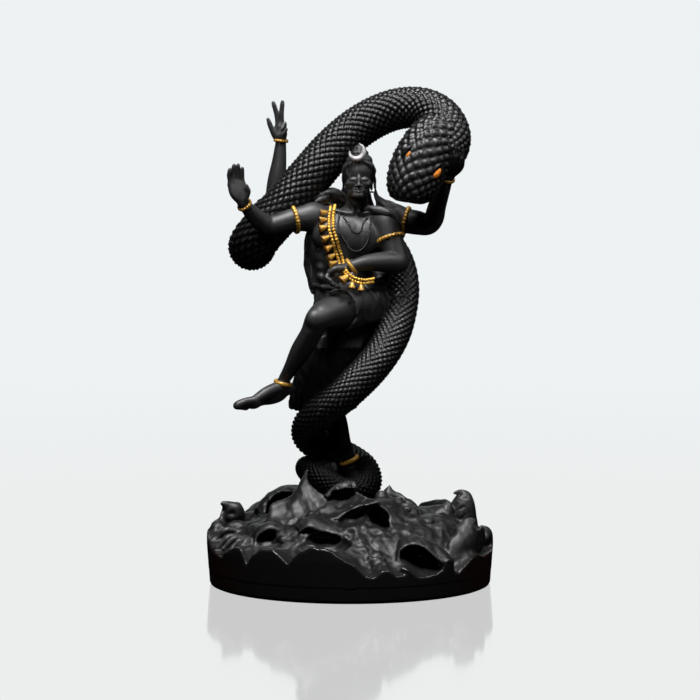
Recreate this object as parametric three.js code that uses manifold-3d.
// A cast resin statuette: a four-armed dancer balances on one leg in a rough sea, inside the coils of a
// great serpent that winds up round the leg, passes behind the back, loops out beside the shoulder and
// arches over the head. The sea fills the top of a round disc. It is one casting, so it is one solid.
import * as THREE from "three";
import { mergeVertices } from "three/addons/utils/BufferGeometryUtils.js";
import Module from "manifold-3d";

const wasm = await Module();
wasm.setup();

// Driving sizes, in millimetres. +Z is up, and the viewer stands on the -Y side.
const DISC_DIAMETER = 184; // across the rim
const DISC_DRAFT = 1.8; // how far the foot stands inside the rim
const DISC_EDGE = 2.2; // the bevel at the foot
const RIM_HEIGHT = 26; // the middle height of the wavy wall
const SEA_LEVEL = 62; // the water under the standing foot
const FIGURE_RISE = 256; // from that water to the top of the serpent's arch
const SERPENT_DIAMETER = 30.6; // at its thickest, in the loop beside the shoulder
const CREST_RISE = 24; // of the tallest wave above its foot
const CREST_THICKNESS = 4.8; // of a breaking wave at its foot
const BEAD_DIAMETER = 3; // of the gilded garland
const BELL_LENGTH = 6; // of the bells that hang from it
const BELL_FLARE = 0.42; // a bell's mouth radius for its length
const BAND_THICKNESS = 2; // of armlets, bracelets and anklets
const NECKLACE_THICKNESS = 1.7;

// The pose is drawn for a rise of 256 mm above water at 62 mm, and grows and shrinks with the rise.
const POSE_RISE = 256;
const POSE_SEA = 62;
const POSE_SERPENT = 30.6;
const SCALE = FIGURE_RISE / POSE_RISE;
const SERPENT_SCALE = SERPENT_DIAMETER / POSE_SERPENT;

const RESIN = new THREE.MeshStandardMaterial({ color: 0x1b1b1d, roughness: 0.55, metalness: 0 });

const turns = (share) => share * 2 * Math.PI;
const radians = THREE.MathUtils.degToRad;
const at = (x, y, z) => new THREE.Vector3(x * SCALE, y * SCALE, SEA_LEVEL + (z - POSE_SEA) * SCALE);
const CUFF_PROUD = BAND_THICKNESS * 0.55; // of the skin, as the bands sit a little into it
const DIGIT_GIRTH = 1.75; // half a finger's width at its knuckle
const UP = new THREE.Vector3(0, 0, 1);
const RIGHT = new THREE.Vector3(1, 0, 0);
const BACK = new THREE.Vector3(0, 1, 0);

// A closed geometry as a solid that can be joined and cut.
function solidOf(geometry) {
  const bare = geometry.clone();
  bare.deleteAttribute("normal");
  bare.deleteAttribute("uv");
  const merged = mergeVertices(bare, 1e-4);
  return new wasm.Manifold(new wasm.Mesh({
    numProp: 3,
    vertProperties: merged.attributes.position.array,
    triVerts: new Uint32Array(merged.index.array),
  }));
}

// Rings of points that run anticlockwise round their line of travel, skinned and closed by a fan at each
// end.
function skin(rings) {
  const sides = rings[0].length;
  const points = rings.flat();
  const triangles = [];
  for (let i = 0; i + 1 < rings.length; i += 1) {
    for (let k = 0; k < sides; k += 1) {
      const a = i * sides + k;
      const b = i * sides + (k + 1) % sides;
      triangles.push(a, b, b + sides, a, b + sides, a + sides);
    }
  }
  for (const last of [false, true]) {
    const ring = last ? rings.length - 1 : 0;
    const middle = points.length;
    const sum = rings[ring].reduce((s, p) => s.clone().add(p), new THREE.Vector3());
    points.push(sum.divideScalar(sides));
    for (let k = 0; k < sides; k += 1) {
      const a = ring * sides + k;
      const b = ring * sides + (k + 1) % sides;
      triangles.push(middle, ...(last ? [a, b] : [b, a]));
    }
  }
  const geometry = new THREE.BufferGeometry().setFromPoints(points);
  geometry.setIndex(triangles);
  return solidOf(geometry);
}

// A smooth limb through stations [point, half width, half depth]. The width lies along hint at the start,
// twist turns each ring against the one before by a share of a side, swell stretches the section, and cuffs
// are the shares of the limb at which a gilded ring goes round it.
function limb(stations, options = {}) {
  const { sides = 7, rings = stations.length, hint = RIGHT, twist = 0, swell = null, cuffs = [] } = options;
  const line = new THREE.CatmullRomCurve3(stations.map((s) => s[0]), false, "centripetal");
  const girth = new THREE.CatmullRomCurve3(stations.map((s) => new THREE.Vector3(s[1], s[2] ?? s[1], 0)));
  const reach = BAND_THICKNESS / line.getLength();
  const samples = Array.from({ length: rings }, (_, i) => [i / (rings - 1), 0])
    .filter(([t]) => cuffs.every((cuff) => Math.abs(t - cuff) > reach * 2))
    .concat(cuffs.flatMap((cuff) => [[cuff - reach, 0], [cuff, CUFF_PROUD], [cuff + reach, 0]]))
    .sort(([t], [u]) => t - u);
  const side = hint.clone();
  const made = samples.map(([t, proud], i) => {
    const middle = line.getPoint(t);
    const along = line.getTangent(t);
    const size = girth.getPoint(t);
    side.addScaledVector(along, -side.dot(along)).normalize();
    const over = new THREE.Vector3().crossVectors(along, side);
    return Array.from({ length: sides }, (_, k) => {
      const angle = turns((k + twist * i) / sides);
      const stretch = swell ? swell(angle, t) : 1;
      return middle.clone()
        .addScaledVector(side, Math.cos(angle) * (size.x * stretch + proud))
        .addScaledVector(over, Math.sin(angle) * (size.y * stretch + proud));
    });
  });
  return skin(made);
}

// An egg-shaped swelling, such as a muscle, with its half sizes along X, Y and Z.
function egg(middle, halves, detail = [6, 4]) {
  const geometry = new THREE.SphereGeometry(1, ...detail);
  geometry.rotateX(Math.PI / 2);
  geometry.scale(...halves.map((h) => h * SCALE));
  geometry.translate(...at(...middle).toArray());
  return solidOf(geometry);
}

// Stations [x, y, z, half width, half depth] of a limb, put in their places in the pose.
function posed(...list) {
  return list.map(([x, y, z, width, depth = width]) => [at(x, y, z), width * SCALE, depth * SCALE]);
}

// The torso, from the hips to the top of the neck: [x, y, z, half width, half depth].
const TORSO = [
  [0, 8, 164, 11, 10], [-1.5, 8, 177, 20.5, 13.5], [-3, 8.5, 190, 20.4, 12.5], [-3.8, 8.5, 200, 20.6, 12.4],
  [-3.2, 7.5, 211, 23.4, 13.4], [-2, 6.5, 222, 25.4, 13.6], [0, 6.5, 231, 24, 11.8], [2.6, 7, 237.5, 16, 9],
  [4, 6, 241, 9, 7.6], [4.8, 4, 246, 6.6, 6.6], [5.2, 2.5, 254, 6.2, 6.6],
];

// Muscles of the front: [middle, half sizes].
const CHEST = [
  [[-12.5, -4.4, 226], [10.8, 4.6, 7]], [[9.5, -3.8, 226], [10, 4.6, 7]],
  [[-3.5, -3.4, 210.5], [8.6, 3.2, 4.6]],
];
const BACK_MUSCLES = [[[-21.4, 10, 220], [6.4, 9.6, 12]], [[18, 11, 220], [6.4, 9.6, 12]]];

// How far forward the front of the body lies over x, at height z.
function bodyFront(x, z) {
  const above = Math.max(1, TORSO.findIndex((s) => s[2] >= z));
  const below = TORSO[above - 1];
  const share = THREE.MathUtils.clamp((z - below[2]) / (TORSO[above][2] - below[2]), 0, 1);
  const [cx, cy, , width, depth] = TORSO[above].map((v, i) => THREE.MathUtils.lerp(below[i], v, share));
  const fronts = CHEST.map(([[mx, my, mz], [w, d, h]]) => {
    const inside = 1 - ((x - mx) / w) ** 2 - ((z - mz) / h) ** 2;
    return inside > 0 ? my - d * Math.sqrt(inside) : Infinity;
  });
  return Math.min(cy - depth * Math.sqrt(Math.max(0, 1 - ((x - cx) / width) ** 2)), ...fronts);
}

function torso() {
  return [
    limb(posed(...TORSO), { sides: 12, rings: 12 }),
    ...CHEST.map(([middle, halves]) => egg(middle, halves)),
    ...BACK_MUSCLES.map(([middle, halves]) => egg(middle, halves)),
  ];
}

// A hand: the palm, then each digit from its knuckle over its joint to its tip.
function hand(palm, digits) {
  const parts = [limb(posed(...palm), { sides: 6, rings: palm.length })];
  for (const digit of digits) {
    const stations = posed(...digit.map(([x, y, z], i) => [x, y, z, DIGIT_GIRTH * (1 - i / 7)]));
    parts.push(limb(stations, { sides: 4, rings: stations.length }));
  }
  return parts;
}

// The open front hand at the left, its palm to the viewer.
function blessingArm() {
  return [
    limb(posed([-14, 5, 233, 8], [-24, 3, 234.8, 9.4], [-35, 0, 233.6, 7.9], [-46, -3, 230.6, 6.8],
      [-52.5, -5, 230, 6.3], [-58.5, -10.4, 234.4, 5.8], [-64.4, -16.5, 240.6, 4.3],
      [-67.5, -20, 244.5, 3.6, 3]), { cuffs: [0.3, 0.95] }),
    ...hand(
      [[-67.4, -19.6, 243.5, 3.4, 2.6], [-70, -21, 248, 5.6, 2.9], [-71, -21, 253, 6.4, 3],
        [-71.4, -20.6, 258, 5.6, 2.6]],
      [
        [[-75.4, -20.6, 256], [-76, -21.6, 262], [-75.6, -22.8, 265.6]],
        [[-72.9, -20.4, 257.5], [-73.4, -21, 264], [-73, -22.2, 268.2]],
        [[-70.2, -20.4, 257.5], [-70.6, -21, 264.2], [-70.4, -22.2, 268.6]],
        [[-67.6, -20.6, 256.5], [-68, -21.2, 262.6], [-67.8, -22.4, 266.6]],
        [[-66.4, -21.6, 247], [-64.2, -23, 251.6], [-65.2, -24.2, 255.6]],
      ],
    ),
  ];
}

// The raised rear hand at the left, its fingers spread.
function raisedArm() {
  return [
    limb(posed([-12, 13, 235, 8], [-22, 18, 238, 8], [-36, 26, 239.5, 7.2], [-46, 31.5, 239.5, 6],
      [-48.4, 32.4, 246, 6.2], [-47.6, 32.2, 257, 6], [-45.8, 31.6, 271, 4.8],
      [-44.5, 31, 286, 3.4, 3]), { cuffs: [0.97] }),
    ...hand(
      [[-44.6, 31, 283, 3.4, 2.8], [-45, 31, 288, 4.6, 2.8], [-45.6, 31, 293, 4.8, 2.6]],
      [
        [[-47.4, 30.6, 292], [-48, 30.4, 300], [-47.6, 30.2, 308]],
        [[-44.4, 31, 293], [-43.8, 31, 300.4], [-43.2, 31, 308]],
        [[-42.8, 31, 292], [-42.4, 27.6, 296.4], [-44.4, 25, 292.6]],
        [[-42.6, 31, 289.4], [-41.4, 27.6, 292.4], [-43.8, 25.4, 289.6]],
        [[-48, 30, 287], [-50.6, 28.6, 292.4], [-52.2, 28.4, 298]],
      ],
    ),
  ];
}

// The front arm at the right, bent across the body, its hand drooping towards the raised foot.
function crossingArm() {
  return [
    limb(posed([14, 5, 232, 8], [22.5, 1.5, 231, 9.6], [25.5, -2, 221, 8.4], [29, -4.5, 212, 7.6],
      [29.5, -7, 206.5, 7.2], [22, -12, 207, 6.6], [10, -18.5, 206.6, 5],
      [-0.5, -23.6, 204.4, 3.5, 3]), { cuffs: [0.29, 0.96] }),
    ...hand(
      [[0, -23.4, 204.5, 3.2, 2.8], [-4, -25.6, 202.2, 4.8, 2.7], [-8, -26.8, 198.6, 5.2, 2.6],
        [-10.6, -27.2, 195.4, 4.4, 2.3]],
      [
        [[-13, -26.4, 198], [-16.6, -26.8, 193.6], [-17.4, -26.4, 189.2]],
        [[-11.6, -27, 196], [-14.8, -27.6, 191.2], [-15.6, -27.2, 186.8]],
        [[-9.6, -27.4, 194.6], [-12.2, -28, 189.6], [-12.8, -27.6, 185.4]],
        [[-7.6, -27.2, 194.4], [-9.2, -27.8, 190], [-9.8, -27.4, 186.6]],
        [[-5, -27, 203], [-10, -29, 203], [-13.6, -29.6, 200.6]],
      ],
    ),
  ];
}

// The rear arm at the right, its hand laid on the serpent's neck.
function holdingArm() {
  return [
    limb(posed([16, 11, 232, 8], [27, 12, 234.5, 8.6], [36, 11, 232.4, 8], [43, 9.8, 231.2, 7.8],
      [49.8, 8.4, 230, 6.7], [53.6, 5.5, 234, 6.4], [55.6, 1, 242, 5.8], [59.4, -7.5, 253, 4.6],
      [62.3, -12.6, 261, 3.5, 3]), { cuffs: [0.25, 0.96] }),
    ...hand(
      [[62.4, -12.4, 259.4, 3.2, 2.8], [63.8, -15.6, 264, 4.6, 2.8], [64.8, -17.2, 268.6, 5.2, 2.7],
        [65.4, -17.6, 272.8, 4.4, 2.4]],
      [
        [[61.6, -17.4, 271.6], [60.6, -18, 277.2], [59.4, -16.8, 281.6]],
        [[64, -17.8, 272.6], [63.4, -17.6, 278.8], [62.2, -16.2, 283.4]],
        [[66.4, -17.2, 272.6], [66.4, -16.2, 278.6], [65.4, -14.6, 283]],
        [[68.6, -16, 271.4], [69, -14.6, 276.6], [68.4, -12.8, 280.4]],
        [[61.2, -16.6, 265], [57.2, -18.6, 268.4], [54.6, -19.4, 271.8]],
      ],
    ),
  ];
}

// A foot: the sole from heel to ball, and five toes in a row.
function foot({ sole, across, firstToe, lastToe, heading, toeLength }) {
  const parts = [limb(posed(...sole), { rings: sole.length, hint: across })];
  for (let i = 0; i < 5; i += 1) {
    const share = i / 4;
    const root = firstToe.map((v, axis) => THREE.MathUtils.lerp(v, lastToe[axis], share));
    const length = toeLength * (1 - 0.3 * share);
    const tip = root.map((v, axis) => v + heading[axis] * length);
    const girth = 2.3 - 0.6 * share;
    parts.push(limb(posed([...root, girth], [...tip, girth * 0.75]), { sides: 4, rings: 2 }));
  }
  return parts;
}

// The leg that stands in the sea, bent a little at the knee, its toes under the foam.
function standingLeg() {
  return [
    limb(posed([-6, 9, 182, 12, 12], [-10, 8, 168, 13.4, 13], [-14, 4, 148, 11.6],
      [-17, -2.6, 129, 8.6], [-15.6, -1, 119, 7.6], [-10, 3.4, 105, 7.7], [-4.6, 4.6, 90, 5.2],
      [-0.6, 4.2, 78, 4.2], [0.6, 3, 66, 4.6, 6.4]),
    { sides: 8, cuffs: [0.875] }),
    limb(posed([0, 8, 67, 4, 4], [1.6, -6, 66.4, 5, 3.8],
      [3.4, -19, 62.6, 5.4, 2.4]), { sides: 6, rings: 3 }),
  ];
}

// The other leg, lifted and swung across the front of the body.
function liftedLeg() {
  return [
    limb(posed([11, 9, 177, 13.6, 13.4], [5, -2, 177.6, 14, 13.2], [-5, -15, 176.6, 12.6, 12],
      [-14.6, -27, 174.6, 10, 9.6], [-20.2, -33.6, 171.6, 8], [-24.6, -31, 162.6, 6.8],
      [-30.6, -25, 152, 6.6], [-37.4, -18, 140, 4.7], [-41.6, -14.2, 132.6, 4],
      [-43, -14, 128.6, 4.4]), { sides: 8, rings: 11, cuffs: [0.885] }),
    ...foot({
      sole: [[-38.6, -9.6, 126, 3.6, 3.4], [-43.4, -13, 127, 4.8, 5.2], [-54, -18, 123.4, 4.8, 5],
        [-63.4, -21.4, 119.2, 5.6, 3.6]],
      across: BACK,
      firstToe: [-60.6, -25.4, 119.8],
      lastToe: [-59.6, -17.2, 116.6],
      heading: [-0.88, -0.28, -0.24],
      toeLength: 12.6,
    }),
  ];
}

// Cloth from the waist over both hips, which falls in folds to a hem behind the lifted shin.
function loincloth() {
  const folds = (angle, t) => 1 + 0.075 * t * Math.cos(9 * angle) + 0.03 * t * Math.cos(4 * angle + 1);
  const hem = posed([-16, 5.4, 111, 20.6, 14.4], [-13.6, 6, 136, 21, 14.6], [-9, 6.6, 158, 20.8, 15],
    [-3.4, 7.6, 178, 21.6, 15], [-3, 8.6, 193, 21, 13.6]);
  return [
    limb(hem, { sides: 20, rings: 5, swell: (a, t) => folds(a, 1 - t) }),
    limb(posed([9, 4, 177.6, 15, 14.4], [3, -4.6, 177.6, 14.8, 14],
      [-3.4, -13, 176.8, 13.6, 13]), { sides: 9, rings: 3 }),
    // A knotted end of the cloth at the right hip, with four rounded ends.
    egg([16, -3, 191], [7.4, 7, 5]),
    ...[0, 1, 2, 3].map((i) => [14.6 + 2 * i, -8.8 + 0.9 * i, 194.4 + 0.6 * i])
      .map((middle) => egg(middle, [1.6, 2.8, 2.8], [4, 3])),
  ];
}

// The head stands on plain proportions: [height above the chin, half width, front, back].
const CHIN = [5.2, 1.6, 247.4];
const SKULL = [
  [0.2, 3, -9.6, -4], [2.4, 5.2, -10.2, 0], [7, 7.4, -9.4, 6], [13, 8.5, -9.2, 10],
  [18, 8.6, -9.9, 11], [24, 8, -9, 10], [28, 3.6, -4, 4.4],
];
const EYE_LINE = 14.4;

// A place on the head: across from its middle, forward or back, and up from the chin.
const HEAD_TILT = 0.035; // to the figure's left, per millimetre up from the chin
function onHead(across, depth, height) {
  return [CHIN[0] + across + height * HEAD_TILT, CHIN[1] + depth, CHIN[2] + height];
}

function head() {
  const sides = 10;
  const rings = SKULL.map(([height, width, front, back]) => Array.from({ length: sides }, (_, k) => {
    const angle = turns(k / sides);
    const depth = (front + back) / 2 + (Math.sin(angle) * (back - front)) / 2;
    return at(...onHead(Math.cos(angle) * width, depth, height));
  }));
  const nose = [[0, -8.6, 16.4, 0.9, 0.9], [0, -10.6, 11.6, 1.2, 1.2], [0, -11, 9.4, 2, 1.5],
    [0, -9, 8.6, 1.6, 1.2]];
  const small = [5, 3];
  const parts = [
    skin(rings),
    limb(posed(...nose.map(([x, y, z, w, d]) => [...onHead(x, y, z), w, d])), { sides: 5, rings: 3 }),
    egg(onHead(0, -9.2, 5.6), [2.7, 1.5, 1.2], small), // the mouth
  ];
  for (const side of [-1, 1]) {
    parts.push(egg(onHead(side * 3.6, -8.3, EYE_LINE), [1.8, 1.3, 1.1], small));
    parts.push(egg(onHead(side * 3.8, -9, EYE_LINE + 2.6), [3.1, 1.3, 0.8], small));
    parts.push(egg(onHead(side * 8.8, 1, EYE_LINE - 2.4), [1.3, 2.2, 3.6], small));
  }
  return parts;
}

// Long locks over the shoulders and down the back: [x, y, z, half width].
const LOCKS = [
  [[12.4, 3, 264, 2.6], [14, 4, 253, 3], [17, 7, 245.4, 4.2], [24, 10, 240.6, 4.2], [31, 11, 238, 1.8]],
  [[-3, 6, 258, 2.6], [-5, 8, 249, 3], [-9, 6, 245.6, 3.6], [-17.4, 5, 246, 3.2], [-22.4, 6, 241.4, 1.6]],
  [[-14, 17, 236, 4], [-22, 18, 222, 4], [-27, 14, 212, 3], [-30.4, 10, 205, 1.2]],
  [[-12, 19, 224, 3.6], [-20, 19, 209, 4], [-25.4, 15, 200, 3], [-28.4, 11, 193, 1.2]],
];

// Hair drawn back from the forehead to a knot, with a mane behind and the locks.
function hair() {
  const mane = posed([4.6, 10.6, 265, 9, 5], [4, 15, 247, 11, 6], [0, 20.6, 232, 15, 4.6],
    [-2, 22, 216, 16, 3.6], [-3, 21, 203, 12, 2]);
  return [
    egg(onHead(0.1, 2.8, 18.6), [10.2, 11.4, 10], [8, 5]),
    egg(onHead(0, 0.8, 28.2), [5.8, 6.2, 3.6], [7, 4]),
    egg(onHead(0, 1.2, 31.4), [4, 4.2, 2.6], [6, 3]),
    limb(mane, { sides: 8, rings: 5 }),
    ...LOCKS.map((lock) => limb(posed(...lock), { sides: 4, rings: lock.length, hint: UP })),
  ];
}

// The crescent in the hair, open to the upper left, on its short stem.
function crescent() {
  const radius = 5.2;
  const horns = Array.from({ length: 7 }, (_, i) => {
    const angle = turns(0.545 + 0.62 * (i / 6));
    const girth = 0.35 + 1.7 * Math.sin(Math.PI * (i / 6)) ** 0.8;
    const middle = onHead(-2.6 + Math.cos(angle) * radius, -9.4, 29.6 + Math.sin(angle) * radius);
    return [...middle, girth, 1];
  });
  const stem = posed([...onHead(-0.6, -2, 27.4), 1.8], [...onHead(-1.6, -9.8, 25.4), 1.3]);
  return [limb(posed(...horns), { sides: 5, rings: 7 }), limb(stem, { sides: 4, rings: 2 })];
}

// The serpent's line from its tail in the sea to its neck: [x, y, z, radius].
const SERPENT = [
  [-10.6, 22, 62, 5.4], [-27, 9, 73, 7.6], [-21, -11, 69.6, 8.8], [-4.1, -17, 61, 9.2], [10, -9, 63.4, 9.4],
  [8, 10, 72.7, 10], [-8.6, 22, 81.8, 10.3], [-24.4, 14, 90.5, 10.6], [-26.8, 0, 99.7, 10.8],
  [-19.6, -14, 110.4, 11],
  [-3, -19.6, 123.9, 11.2], [14.2, -15, 140.7, 11.3], [26.4, -4, 158.5, 11.4], [31.9, 8, 177, 11.6],
  [32.4, 20, 193.7, 12], [26.2, 31, 210, 12.5], [11.9, 40, 224, 13], [-7.7, 47, 235.5, 13.5],
  [-29.3, 52, 242, 14.2],
  [-47.8, 52, 235.6, 14.9], [-60, 44, 220.8, 15.2], [-63.8, 31, 214.6, 15.3], [-60, 18, 221.4, 15.2],
  [-43.2, 11, 240, 14.8], [-26, 12, 260.4, 14.4], [-9.6, 16, 279.2, 14], [7.8, 18, 293.8, 13.6],
  [26.8, 16, 303, 13.4],
  [44.4, 12, 304.6, 13.4], [57.4, 5, 298.4, 13.6], [63.2, -2, 286.6, 13.8], [61.4, -8, 275, 13.4],
];

// The head hangs down from the neck towards the viewer: [x, y, z, half width, half height].
const SERPENT_HEAD = [
  [61, -2, 290, 13.6, 13], [54.4, -7, 284.4, 17.4, 13], [48.6, -12.6, 276.6, 19, 12.4],
  [43.6, -17.4, 267, 18, 11.6],
  [41, -20.8, 258.2, 15.6, 9.6], [39.6, -23, 250.6, 11.6, 7.2], [39, -24, 245.8, 6.6, 4.4],
];

function serpent() {
  const girth = (r) => r * SERPENT_SCALE;
  const body = posed(...SERPENT.map(([x, y, z, r]) => [x, y, z, girth(r)]));
  const face = posed(...SERPENT_HEAD.map(([x, y, z, w, h]) => [x, y, z, girth(w), girth(h)]));
  const across = new THREE.Vector3(0.84, 0, -0.54);
  return [
    limb(body, { sides: 9, rings: 50, twist: 0.5 }),
    limb(face, { sides: 9, rings: 8, hint: across }),
    egg([36.6, -24.6, 275], [2.4, 2.6, 3.2], [5, 4]), // the eyes
    egg([53.8, -26, 263.6], [2.4, 2.6, 3.2], [5, 4]),
  ];
}

// Guides [x, z] over the front of the body for the garland and the two dark necklaces.
const GARLAND = [[-13.4, 240], [-12.6, 232], [-10.6, 224], [-8.6, 215], [-5.6, 207.6]];
const LOWER_GARLAND = [[-0.6, 199.4], [3.4, 196], [9, 194.6], [14.6, 195.4]];
const NECKLACES = [
  [[-4, 238], [-0.6, 231], [4.6, 225.6], [8.4, 229], [9.4, 236]],
  [[-8.4, 238.6], [-6.6, 228], [-2, 219.4], [5, 213.6], [11.2, 219], [13, 229], [14.2, 237]],
];

// Points at even steps along a smooth line over the front of the body, standing proud of it.
function overBody(guides, count, proud) {
  const line = new THREE.CatmullRomCurve3(guides.map(([x, z]) => new THREE.Vector3(x, 0, z)));
  return line.getSpacedPoints(count - 1).map((p) => {
    const point = at(p.x, bodyFront(p.x, p.z), p.z);
    point.y -= proud;
    return point;
  });
}

// Two rows of touching beads side by side, each pair as one, with a bell on every second pair.
function strand(guides, mouth) {
  const drop = new THREE.CatmullRomCurve3(guides.map(([x, z]) => new THREE.Vector3(x, 0, z)));
  const length = drop.getLength() * SCALE;
  const beads = Math.max(2, Math.round(length / BEAD_DIAMETER));
  const middles = overBody(guides, beads * 2 + 1, BEAD_DIAMETER * 0.2);
  const stations = middles.map((p, i) => {
    const full = i % 2 === 1 ? 1 : 0.6;
    return [p, BEAD_DIAMETER * full, (BEAD_DIAMETER / 2) * full];
  });
  const parts = [limb(stations, { sides: 4, rings: stations.length })];
  const hang = new THREE.Vector3(...mouth).normalize();
  const turn = new THREE.Quaternion().setFromUnitVectors(BACK, hang.clone().negate());
  for (let i = 1; i < middles.length; i += 4) {
    const cone = new THREE.ConeGeometry(BELL_LENGTH * BELL_FLARE, BELL_LENGTH, 5);
    cone.applyQuaternion(turn);
    const reach = BEAD_DIAMETER * 0.6 + BELL_LENGTH / 2;
    cone.translate(...middles[i].clone().addScaledVector(hang, reach).toArray());
    parts.push(solidOf(cone));
  }
  return parts;
}

function garland() {
  const parts = [...strand(GARLAND, [-1, -0.35, -0.3]), ...strand(LOWER_GARLAND, [-0.2, -0.3, -1])];
  for (const guides of NECKLACES) {
    const line = overBody(guides, 9, NECKLACE_THICKNESS * 0.1).map((p) => [p, NECKLACE_THICKNESS / 2]);
    parts.push(limb(line, { sides: 3, rings: 7 }));
  }
  return parts;
}

const RIM_RADIUS = DISC_DIAMETER / 2;

// The wavy line where the sea meets the wall: [degrees round from +X, height above the middle height].
const RIM_WAVES = RIM_HEIGHT / 26;
const RIM_LINE = [
  [-180, 8], [-169, 3], [-152, -4], [-142, 5], [-135, -4], [-124, 6], [-115, -2], [-104, 9], [-92, 1],
  [-81, -9],
  [-74, -5], [-60, -13], [-49, -7], [-42, -11], [-29, -1], [-18, -4], [-3, 3], [14, 9], [36, -2],
  [54, 6], [76, -4],
  [97, 8], [118, -2], [138, 6], [158, 0], [180, 8],
];

function rimHeight(degrees) {
  const next = Math.max(1, RIM_LINE.findIndex(([d]) => d >= degrees));
  const [[before, low], [after, high]] = [RIM_LINE[next - 1], RIM_LINE[next]];
  const share = THREE.MathUtils.smoothstep(degrees, before, after);
  return RIM_HEIGHT + RIM_WAVES * THREE.MathUtils.lerp(low, high, share);
}

// The swell between the wall and the standing foot, which is heaped up under the dancer and falls away
// faster on the viewer's side.
const HEAP = SEA_LEVEL - RIM_HEIGHT - 2;
const SWELL = 1.6;
function seaHeight(x, y) {
  const out = Math.min(1, Math.hypot(x, y) / RIM_RADIUS);
  const front = THREE.MathUtils.smoothstep(-y / RIM_RADIUS, 0.27, 0.82);
  const edge = THREE.MathUtils.smoothstep(out, 0.7, 1);
  const chop = Math.sin((x / RIM_RADIUS) * 10.8 + 0.6) * Math.cos((y / RIM_RADIUS) * 9.7 - 0.4);
  const rim = rimHeight(THREE.MathUtils.radToDeg(Math.atan2(y, x)));
  const level = RIM_HEIGHT + HEAP * (1 - (0.86 + 0.22 * front) * out ** (1.15 - 0.25 * front));
  return THREE.MathUtils.lerp(level, rim, edge) + SWELL * chop * (1 - edge) * (0.35 + out);
}

function disc() {
  const around = 36;
  const ring = (radius, height) => Array.from({ length: around }, (_, k) => {
    const angle = turns(k / around);
    const x = Math.cos(angle) * radius;
    const y = Math.sin(angle) * radius;
    return new THREE.Vector3(x, y, height ?? seaHeight(x, y));
  });
  const foot = RIM_RADIUS - DISC_DRAFT;
  const rings = [ring(foot - DISC_EDGE, 0), ring(foot, DISC_EDGE)];
  for (const share of [1, 0.88, 0.7, 0.48, 0.24]) {
    rings.push(ring(RIM_RADIUS * share));
  }
  return skin(rings);
}

// The waves are drawn in millimetres for a rim 92 mm in radius and 26 mm high and water at 62 mm.
const POSE_RIM = 92;
const POSE_WALL = 26;
function onSea([x, y, z]) {
  const share = RIM_RADIUS / POSE_RIM;
  const over = ((z - POSE_WALL) * (SEA_LEVEL - RIM_HEIGHT)) / (POSE_SEA - POSE_WALL);
  const height = z > POSE_WALL ? RIM_HEIGHT + over : (z * RIM_HEIGHT) / POSE_WALL;
  return new THREE.Vector3(x * share, y * share, height);
}

// Breaking waves, each a curled sheet drawn by three lines across it: its foot, its crown and its lip.
const WAVES = [
  [
    [[-60, 24, 38], [-48, 31, 44], [-30, 31, 48]],
    [[-60, 17, 46], [-50, 24, 58], [-29, 22, 61]],
    [[-56.5, 5, 43], [-45, 6, 55.6], [-34, 6, 57.6]],
  ],
  [
    [[-50, -27, 44], [-34, -31, 46], [-26, -31, 47], [-12, -26, 52]],
    [[-49, -21.5, 50.5], [-34, -19.6, 55], [-25, -18.6, 61], [-15, -17, 58.6]],
    [[-48.5, -19, 52.6], [-34, -15, 60], [-27, -14, 72.6], [-15, -12, 60.6]],
  ],
  [
    [[-16, -24, 54], [-8, -21, 62.6], [0, -21, 65], [16, -38, 57]],
    [[-18, -32, 50], [-8, -31, 54.6], [0, -32, 56.6], [14, -38.4, 57.6]],
    [[-17, -40, 47], [-8, -44, 48], [1, -45.4, 51], [16, -42, 57.6]],
  ],
  [
    [[9, -22, 44], [15, -20, 52], [28, -20, 53], [39, -28, 40]],
    [[10, -30, 46], [16, -30, 55.6], [27, -30, 53], [34, -34, 40]],
    [[10.5, -38, 46], [15, -38.4, 54.4], [24, -39.6, 50], [28.6, -40, 38]],
  ],
  [
    [[-34, -40, 38], [-24, -37, 44], [-10, -36, 41]],
    [[-32.6, -47, 43], [-22, -46, 48.4], [-8, -45, 42]],
    [[-31.6, -54, 38], [-22, -55.6, 41.6], [-7, -55, 35]],
  ],
  [
    [[-60, -38, 30], [-55, -35.4, 38], [-44, -36, 37]],
    [[-60.6, -44, 31], [-54, -44, 42], [-43, -44, 39.6]],
    [[-59.4, -50, 30], [-54, -50, 40], [-44, -49.6, 38]],
  ],
  [
    [[34, -56, 22], [38, -54, 35], [50, -55, 32], [63, -60, 21]],
    [[31, -63, 21], [37, -62, 36.4], [49, -62, 34], [63, -66, 22]],
    [[31, -70, 22], [36, -70, 33.6], [49, -69, 29], [61, -70, 20]],
  ],
  [
    [[34, -70, 17], [44, -70, 14], [60, -65, 18]],
    [[34, -77, 17.6], [44, -79, 14], [60, -72, 18.6]],
    [[33, -82, 20.4], [46, -83, 14.4], [60, -75, 21]],
  ],
  [
    [[62, -50, 26], [73, -42, 29], [84, -22, 32]],
    [[64, -43, 33], [73, -39, 36.6], [84, -25, 37]],
    [[66, -35.6, 36], [73, -33, 44], [82.6, -28, 41]],
  ],
  [
    [[-16, 50, 38], [6, 54, 39], [28, 48, 38]],
    [[-14, 56, 48], [8, 61, 52], [27, 56, 48]],
    [[-13, 65, 43], [9, 71, 46], [27, 65, 43]],
  ],
  [
    [[-62, 34, 36], [-52, 41, 37], [-42, 50, 36]],
    [[-65, 39, 47], [-57, 48, 51], [-47, 56, 47]],
    [[-70, 44, 42], [-63, 54, 46], [-52, 63, 42]],
  ],
  [
    [[44, 42, 36], [54, 34, 38], [62, 24, 38]],
    [[48, 47, 47], [59, 40, 51], [67, 29, 48]],
    [[54, 52, 42], [64, 45, 45], [73, 33, 43]],
  ],
];
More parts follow.
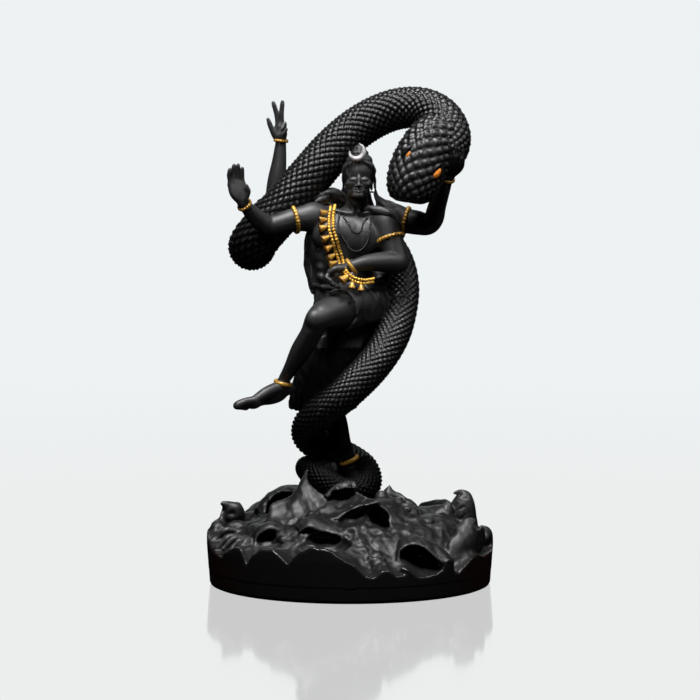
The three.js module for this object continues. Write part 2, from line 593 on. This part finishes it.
const CREST_LIP = 0.4; // the lip's thickness, for that of the foot
const POSE_CREST = 24;

// One wave: the sheet is bent from foot to lip through the crown, thins towards the lip, and is closed.
function wave(drawn) {
  const stations = 6;
  const steps = 3;
  const growth = CREST_RISE / POSE_CREST;
  const [foot, crown, lip] = drawn.map((line) => new THREE.CatmullRomCurve3(line.map(onSea)));
  const place = (u, v) => {
    const start = foot.getPoint(u);
    const end = lip.getPoint(u).sub(start);
    const pull = crown.getPoint(u).sub(start).multiplyScalar(2).addScaledVector(end, -0.5);
    return start.addScaledVector(pull, 2 * v * (1 - v) * growth).addScaledVector(end, v * v * growth);
  };
  const rings = [];
  for (let i = 0; i < stations; i += 1) {
    const u = i / (stations - 1);
    const near = THREE.MathUtils.clamp(u, 0.01, 0.98);
    const front = [];
    const back = [];
    for (let j = 0; j <= steps; j += 1) {
      const v = j / steps;
      const across = place(near + 0.01, v).sub(place(near - 0.01, v));
      const ahead = place(u, v + 0.01).sub(place(u, v - 0.01));
      const through = new THREE.Vector3().crossVectors(across, ahead).normalize();
      const half = (CREST_THICKNESS / 2) * THREE.MathUtils.lerp(1, CREST_LIP, v);
      front.push(place(u, v).addScaledVector(through, half));
      back.unshift(place(u, v).addScaledVector(through, -half));
    }
    rings.push([...front, ...back]);
  }
  const made = skin(rings);
  return made.volume() > 0 ? made : skin(rings.reverse());
}

// Humps, claws and horns of water: [x, y, z, radius] from the water up.
const HORNS = [
  [[-75, 12, 32, 7], [-75, 13, 42, 6.4], [-77, 12.6, 47, 3.6], [-82.6, 10.6, 49.4, 1]],
  [[24, -12, 46, 9], [24, -12, 54, 6], [25, -12, 63.6, 1.2]],
  [[33, -17, 46, 7], [35, -17, 52, 5], [36, -16, 55, 2.4]],
  [[74, 18, 28, 11.5], [74.6, 18, 38, 9.8], [75, 18, 45, 7.8], [76, 18, 52, 4.8], [71.4, 18, 56, 1.2]],
  [[54, 13, 34, 12], [56, 12, 42, 8.6], [63.4, 10, 48.6, 1.8]],
  [[-72, -1, 28, 9], [-71, -1, 38, 6.4], [-70, -1, 41.6, 2.4]],
];
const LOBES = [
  [[-83, 8, 32], [7, 10, 6.6]], [[84.6, 3, 30], [6.6, 13, 6]], [[-81, -20, 29], [7, 8, 5.4]],
  [[-45, -46.6, 36], [3.4, 3.4, 3.2]],
];

function horn(drawn) {
  const share = RIM_RADIUS / POSE_RIM;
  return limb(drawn.map(([x, y, z, r]) => [onSea([x, y, z]), r * share]), { sides: 7, rings: drawn.length + 1 });
}

function lobe([middle, halves]) {
  const share = RIM_RADIUS / POSE_RIM;
  const geometry = new THREE.SphereGeometry(1, 8, 5);
  geometry.scale(...halves.map((h) => h * share));
  geometry.translate(...onSea(middle).toArray());
  return solidOf(geometry);
}

// The waves and humps stay inside the disc's wall.
function sea() {
  const share = 0.995;
  const wall = wasm.Manifold.cylinder(
    SEA_LEVEL * 2, (RIM_RADIUS - DISC_DRAFT) * share, RIM_RADIUS * share, 36,
  );
  const water = [...WAVES.map(wave), ...HORNS.map(horn), ...LOBES.map(lobe)];
  return [disc(), ...water.map((body) => body.intersect(wall))];
}

// The joined casting, with the small voids filled that close up where its forms meet.
function joined(parts) {
  return wasm.Manifold.union(wasm.Manifold.union(parts).decompose().filter((body) => body.volume() > 0));
}

function meshOf(name, solid) {
  const { numProp, vertProperties, triVerts } = solid.getMesh();
  const geometry = new THREE.BufferGeometry();
  const points = new Float32Array((vertProperties.length / numProp) * 3);
  for (let i = 0; i * numProp < vertProperties.length; i += 1) {
    points.set(vertProperties.subarray(i * numProp, i * numProp + 3), i * 3);
  }
  geometry.setAttribute("position", new THREE.BufferAttribute(points, 3));
  geometry.setIndex(new THREE.BufferAttribute(triVerts, 1));
  geometry.computeVertexNormals();
  const mesh = new THREE.Mesh(geometry, RESIN);
  mesh.name = name;
  return mesh;
}

const makers = [
  sea, torso, blessingArm, raisedArm, crossingArm, holdingArm, standingLeg, liftedLeg, loincloth,
  head, hair, crescent, serpent, garland,
];

const statuette = new THREE.Group();
statuette.add(meshOf("dancing_shiva_statuette", joined(makers.flatMap((make) => make()))));

export default statuette;
